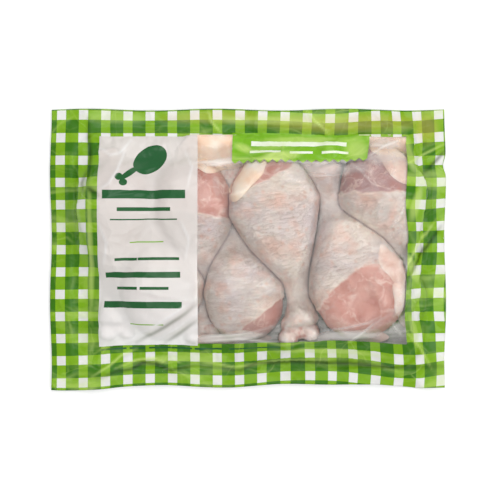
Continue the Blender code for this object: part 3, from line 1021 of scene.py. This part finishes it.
def front_print(tree, place, x, y, crumpled):
    """Colour of the front's print, and how much of what lies behind it hides."""
    label = field(tree, x, y, *LABEL)
    window = field(tree, x, y, *WINDOW)
    zigzag = add_node(tree, "ShaderNodeMath", {0: x, 1: ZIGZAG_PITCH / 2}, operation="PINGPONG").outputs[0]
    lowered = add_node(
        tree, "ShaderNodeMath", {0: zigzag, 1: ZIGZAG_DEPTH / (ZIGZAG_PITCH / 2), 2: y},
        operation="MULTIPLY_ADD"
    ).outputs[0]
    banner = add_node(
        tree, "ShaderNodeMath",
        {0: field(tree, x, lowered, BANNER[0], BANNER[1], BANNER[2], 200.0),
         1: field(tree, x, y, BANNER[0], BANNER[1], 0.0, BANNER[3])}, operation="MULTIPLY",
    ).outputs[0]
    colour = checks(tree, x, y)
    colour = mix_colour(tree, soft_spots(tree, place, WARM_PATCHES), colour, linear("#D2B45A"))
    colour = mix_colour(tree, bars(tree, x, y, EDGE_BARS), colour, linear(DARK_INK))
    colour = mix_colour(tree, window, colour, linear("#F2EEEA"))
    # The label's white is warmer towards the top and painted lighter towards the bottom: painted light where
    # its lower part falls in shade.
    pale = add_node(
        tree, "ShaderNodeMapRange", {"Value": y, "From Min": -70.0, "From Max": 10.0}
    ).outputs["Result"]
    pale = mix_colour(tree, pale, linear("#FAF8F6"), linear("#E8E1DC"))
    colour = mix_colour(tree, label, colour, pale)
    marks = add_node(
        tree, "ShaderNodeMath", {0: bars(tree, x, y, LABEL_BARS), 1: spots(tree, place, PICTOGRAM)},
        operation="MAXIMUM",
    ).outputs[0]
    colour = mix_colour(tree, marks, colour, linear(DARK_INK))
    colour = mix_colour(tree, bars(tree, x, y, LABEL_RULES), colour, linear(LIME_INK))
    colour = mix_colour(tree, banner, colour, linear("#78B21C"))
    colour = mix_colour(tree, bars(tree, x, y, BANNER_BARS), colour, linear("#EEF2E4"))
    clear = add_node(
        tree, "ShaderNodeMath", {0: window, 1: banner}, operation="SUBTRACT", use_clamp=True
    ).outputs[0]
    bridged = add_node(tree, "ShaderNodeAttribute", attribute_name="bridged").outputs["Fac"]
    fogged = add_node(
        tree, "ShaderNodeMapRange",
        {"Value": bridged, "From Min": 0.8, "From Max": 12.0, "To Min": 0.0, "To Max": 1.0}
    ).outputs["Result"]
    haze = add_node(
        tree, "ShaderNodeMath", {0: fogged, 1: 0.20, 2: 0.02}, operation="MULTIPLY_ADD"
    ).outputs[0]
    # Milky haze together with painted reflection patches over the window.
    milky = soft_spots(tree, place, HAZE_AND_REFLECTION_PATCHES)
    haze = add_node(tree, "ShaderNodeMath", {0: haze, 1: milky}, operation="MAXIMUM").outputs[0]
    # Crease ridges whiten the window's haze, the print and the label: partly stress whitening, partly painted
    # glints.
    whitening_and_glint = add_node(tree, "ShaderNodeAttribute", attribute_name="whitening_and_glint").outputs["Fac"]
    haze = add_node(
        tree, "ShaderNodeMath", {0: whitening_and_glint, 1: 0.42, 2: haze}, operation="MULTIPLY_ADD"
    ).outputs[0]
    # Painted glints along the crumples whiten the window's film.
    haze = add_node(
        tree, "ShaderNodeMath", {0: crumpled, 1: 0.10, 2: haze}, operation="MULTIPLY_ADD"
    ).outputs[0]
    # Painted glare: pale painted highlights on the print, in noisy streaks, in the listed patches, along the
    # crumples and along crease ridges.
    glare = add_node(
        tree, "ShaderNodeMapping", {"Vector": place, "Rotation": (0, 0, 0.3), "Scale": (0.016, 0.05, 1)}
    )
    glare = add_node(
        tree, "ShaderNodeTexNoise",
        {"Vector": glare.outputs[0], "Scale": 1.0, "Detail": 3.0, "Distortion": 0.9}
    )
    glare = colour_ramp(tree, glare.outputs["Fac"], [(0.52, 0.0), (0.70, 0.34)])
    painted_glare = soft_spots(tree, place, GLARE_PATCHES)
    glare = add_node(tree, "ShaderNodeMath", {0: glare, 1: painted_glare}, operation="MAXIMUM").outputs[0]
    glare = add_node(
        tree, "ShaderNodeMath", {0: crumpled, 1: 0.20, 2: glare}, operation="MULTIPLY_ADD"
    ).outputs[0]
    glare = add_node(
        tree, "ShaderNodeMath", {0: whitening_and_glint, 1: 0.55, 2: glare}, operation="MULTIPLY_ADD", use_clamp=True
    ).outputs[0]
    plain = add_node(tree, "ShaderNodeMath", {0: clear, 1: label}, operation="MAXIMUM").outputs[0]
    printed = add_node(tree, "ShaderNodeMath", {0: 1.0, 1: plain}, operation="SUBTRACT").outputs[0]
    glare = add_node(tree, "ShaderNodeMath", {0: glare, 1: printed}, operation="MULTIPLY").outputs[0]
    colour = mix_colour(tree, glare, colour, linear("#C9E178"))
    bright = add_node(tree, "ShaderNodeMath", {0: whitening_and_glint, 1: label}, operation="MULTIPLY").outputs[0]
    colour = mix_colour(tree, bright, colour, linear("#FCFBFA"))
    shaded = add_node(tree, "ShaderNodeAttribute", attribute_name="shaded").outputs["Fac"]
    shaded = add_node(tree, "ShaderNodeMath", {0: shaded, 1: 0.85}, operation="MULTIPLY").outputs[0]
    shaded = mix_colour(tree, shaded, (1.0, 1.0, 1.0, 1.0), linear("#747C68"))
    colour = mix_colour(tree, 1.0, colour, shaded, "MULTIPLY")
    ink = add_node(tree, "ShaderNodeMath", {0: fogged, 1: 0.12, 2: 0.77}, operation="MULTIPLY_ADD").outputs[0]
    ink = add_node(tree, "ShaderNodeMath", {0: ink, 1: marks}, operation="MAXIMUM").outputs[0]
    cover = add_node(tree, "ShaderNodeMix", {0: clear, 2: 0.98, 3: haze}, data_type="FLOAT").outputs[0]
    cover = add_node(tree, "ShaderNodeMix", {0: label, 2: cover, 3: ink}, data_type="FLOAT").outputs[0]
    return colour, add_node(tree, "ShaderNodeMath", {0: cover, 1: 0.98}, operation="MINIMUM").outputs[0]


def film_relief(tree, place, x):
    """Crumples of thin film: flat facets that meet in creases, and the weld bars' ridges."""
    drift = add_node(tree, "ShaderNodeTexNoise", {"Vector": place, "Scale": 0.03, "Detail": 2.0})
    bent = add_node(
        tree, "ShaderNodeVectorMath", {0: drift.outputs["Color"], 1: (26.0, 26.0, 0.0), 2: place},
        operation="MULTIPLY_ADD",
    ).outputs[0]
    height, crumpled = None, None
    for size, share in ((30.0, 1.0), (11.0, 0.32)):
        facets = add_node(tree, "ShaderNodeTexVoronoi", {"Vector": bent, "Scale": 1.0 / size}, feature="F1")
        edges = add_node(
            tree, "ShaderNodeTexVoronoi", {"Vector": bent, "Scale": 1.0 / size}, feature="DISTANCE_TO_EDGE"
        )
        line = add_node(
            tree, "ShaderNodeMapRange",
            {"Value": edges.outputs["Distance"], "From Min": 0.0, "From Max": 0.9 / size, "To Min": share,
             "To Max": 0.0},
        ).outputs["Result"]
        slope = add_node(
            tree, "ShaderNodeMath", {0: facets.outputs["Distance"], 1: share}, operation="MULTIPLY"
        ).outputs[0]
        height = slope if height is None else add_node(
            tree, "ShaderNodeMath", {0: height, 1: slope}, operation="ADD"
        ).outputs[0]
        crumpled = line if crumpled is None else add_node(
            tree, "ShaderNodeMath", {0: crumpled, 1: line}, operation="MAXIMUM"
        ).outputs[0]
    patchy = add_node(tree, "ShaderNodeTexNoise", {"Vector": place, "Scale": 0.045, "Detail": 2.0})
    strong = colour_ramp(tree, patchy.outputs["Fac"], [(0.44, 0.0), (0.62, 1.0)])
    crumpled = add_node(tree, "ShaderNodeMath", {0: crumpled, 1: strong}, operation="MULTIPLY").outputs[0]
    for bar in WELD_BARS:
        ridge = add_node(tree, "ShaderNodeMath", {0: x, 1: bar, 2: 0.6}, operation="COMPARE").outputs[0]
        height = add_node(
            tree, "ShaderNodeMath", {0: ridge, 1: 0.25, 2: height}, operation="MULTIPLY_ADD"
        ).outputs[0]
    relief = add_node(tree, "ShaderNodeBump", {"Height": height, "Strength": 1.0, "Distance": 0.003})
    return relief.outputs["Normal"], crumpled


def front_film():
    """Laminated plastic film, gloss printed: opaque ink, milky label, clear window."""
    material, tree, output = empty_material("printed_polyethylene_film")
    place, x, y = sheet_place(tree)
    relief, crumpled = film_relief(tree, place, x)
    colour, cover = front_print(tree, place, x, y, crumpled)
    gloss = add_node(
        tree, "ShaderNodeBsdfGlossy", {"Color": (1, 1, 1, 1), "Roughness": 0.16, "Normal": relief}
    )
    through = add_node(tree, "ShaderNodeBsdfTransparent", {"Color": linear("#FFFFFE")})
    sheen = add_node(tree, "ShaderNodeFresnel", {"IOR": 1.38, "Normal": relief})
    clear = add_node(
        tree, "ShaderNodeMixShader", {0: sheen.outputs[0], 1: through.outputs[0], 2: gloss.outputs[0]}
    )
    ink = add_node(
        tree, "ShaderNodeBsdfPrincipled",
        {"Base Color": colour, "Roughness": 0.26, "IOR": 1.34, "Normal": relief}
    )
    shader = add_node(tree, "ShaderNodeMixShader", {0: cover, 1: clear.outputs[0], 2: ink.outputs[0]})
    tree.links.new(shader.outputs[0], output.inputs["Surface"])
    return material


def back_film():
    """The same film behind: checks all over, which show greyish through its white backing, and inside painted
    shade and painted glints in streaks along its folds.
    """
    material, tree, output = empty_material("printed_back_film")
    place, x, y = sheet_place(tree)
    outside = checks(tree, x, y)
    folds = add_node(
        tree, "ShaderNodeMapping", {"Vector": place, "Rotation": (0, 0, -0.6), "Scale": (0.02, 0.11, 1)}
    )
    folds = add_node(
        tree, "ShaderNodeTexNoise",
        {"Vector": folds.outputs[0], "Scale": 1.0, "Detail": 3.0, "Distortion": 0.5}
    )
    # The inside is painted with dark green-grey shade and white glints in streaks along its folds.
    lining_shade_and_glints = colour_ramp(
        tree, folds.outputs["Fac"],
        [(0.38, "#43513C"), (0.45, "#8B9985"), (0.52, "#C9D1C4"), (0.60, "#FFFFFF")]
    )
    inside = mix_colour(tree, 0.88, outside, lining_shade_and_glints)
    facing = add_node(tree, "ShaderNodeNewGeometry").outputs["Backfacing"]
    colour = mix_colour(tree, facing, outside, inside)
    relief = film_relief(tree, place, x)[0]
    ink = add_node(
        tree, "ShaderNodeBsdfPrincipled",
        {"Base Color": colour, "Roughness": 0.28, "IOR": 1.5, "Normal": relief}
    )
    tree.links.new(ink.outputs[0], output.inputs["Surface"])
    return material


# ---------------------------------------------------------------- floor, light, camera

SKY_LEVEL = 0.60
FLOOR_GLOW = 0.28
FLOOR_REACH = 3000.0
CAMERA_HEIGHT, CAMERA_ASIDE, VIEW_WIDTH = 2.6, 0.0015, 0.379
# Softboxes: place and size in metres, power in watts
SOFTBOXES = (
    ("key", (0.0, 1.0, 1.1), (1.1, 0.6), 6.1),
    ("near", (0.0, -1.0, 1.3), (1.3, 0.6), 4.2),
    ("fill", (0.95, 0.0, 1.1), (0.8, 0.8), 5.0),
    ("overhead", (0.0, 0.1, 1.9), (1.2, 1.2), 4.0),
)


def make_floor():
    """A plain white floor that the camera sees as white, apart from the pack's shadow."""
    corners = [(x * FLOOR_REACH, y * FLOOR_REACH, 0) for x, y in ((-1, -1), (1, -1), (1, 1), (-1, 1))]
    floor = link_mesh("floor", corners, [[0, 1, 2, 3]], [])
    material, tree, output = empty_material("white_floor")
    path = add_node(tree, "ShaderNodeLightPath")
    seen = add_node(
        tree, "ShaderNodeMath", {0: path.outputs["Is Camera Ray"], 1: path.outputs["Is Glossy Ray"]},
        operation="MAXIMUM",
    )
    seen = add_node(
        tree, "ShaderNodeMath", {0: seen.outputs[0], 1: path.outputs["Is Transmission Ray"]},
        operation="MAXIMUM"
    )
    glow = add_node(tree, "ShaderNodeEmission", {"Color": (1, 1, 1, 1)})
    lift = add_node(tree, "ShaderNodeMath", {0: seen.outputs[0], 1: FLOOR_GLOW}, operation="MULTIPLY")
    tree.links.new(lift.outputs[0], glow.inputs["Strength"])
    matt = add_node(tree, "ShaderNodeBsdfDiffuse", {"Color": (0.8, 0.8, 0.8, 1)})
    both = add_node(tree, "ShaderNodeAddShader", {0: matt.outputs[0], 1: glow.outputs[0]})
    tree.links.new(both.outputs[0], output.inputs["Surface"])
    floor.data.materials.append(material)


def add_softbox(name, place, aim, size, power):
    """An area lamp at a place in metres, turned to its aim."""
    lamp = bpy.data.lights.new(name, "AREA")
    lamp.shape = "RECTANGLE"
    lamp.size, lamp.size_y = size
    lamp.energy = power
    stand = bpy.data.objects.new(name, lamp)
    stand.location = place
    stand.rotation_euler = (Vector(aim) - Vector(place)).to_track_quat("-Z", "Y").to_euler()
    bpy.context.scene.collection.objects.link(stand)


def light_and_camera():
    """Soft light from above, brighter from the pack's far side, and a camera that looks down."""
    world = bpy.data.worlds.new("studio")
    world.use_nodes = True
    sky = world.node_tree.nodes["Background"]
    sky.inputs["Color"].default_value = (1, 1, 1, 1)
    path = add_node(world.node_tree, "ShaderNodeLightPath")
    level = add_node(
        world.node_tree, "ShaderNodeMath", {0: path.outputs["Is Camera Ray"], 1: SKY_LEVEL},
        operation="MAXIMUM"
    )
    world.node_tree.links.new(level.outputs[0], sky.inputs["Strength"])
    bpy.context.scene.world = world
    for name, place, size, power in SOFTBOXES:
        add_softbox(name, place, (0, 0, 0), size, power)
    camera = bpy.data.cameras.new("camera")
    camera.sensor_width = 36.0
    camera.lens = camera.sensor_width * CAMERA_HEIGHT / VIEW_WIDTH
    stand = bpy.data.objects.new("camera", camera)
    stand.location = (CAMERA_ASIDE, 0.0, CAMERA_HEIGHT)
    bpy.context.scene.collection.objects.link(stand)
    bpy.context.scene.camera = stand
    bpy.context.scene.view_settings.view_transform = "Standard"


# ---------------------------------------------------------------- the whole pack

meat_materials = [skin_and_flesh(), cartilage()]
contents = []
for number, (name, spec) in enumerate(LEGS.items(), start=1):
    contents += make_leg(name, spec, meat_materials, number)
mark_contact(contents, 1.25)
bed = height_map(contents, 1.0)
for table, material in ((FAT_FOLDS, cream_fat()), (SKIN_SCRAPS, loose_skin())):
    for number, (name, spec) in enumerate(table.items(), start=1):
        contents.append(make_scrap(name, spec, bed, [material], number))
envelope = make_films(spread_out(height_map(contents, 1.0)), [front_film(), back_film()])

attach(envelope, "root")
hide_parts("sealed_pack")
for piece in contents:
    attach(piece, "root")

make_floor()
light_and_camera()
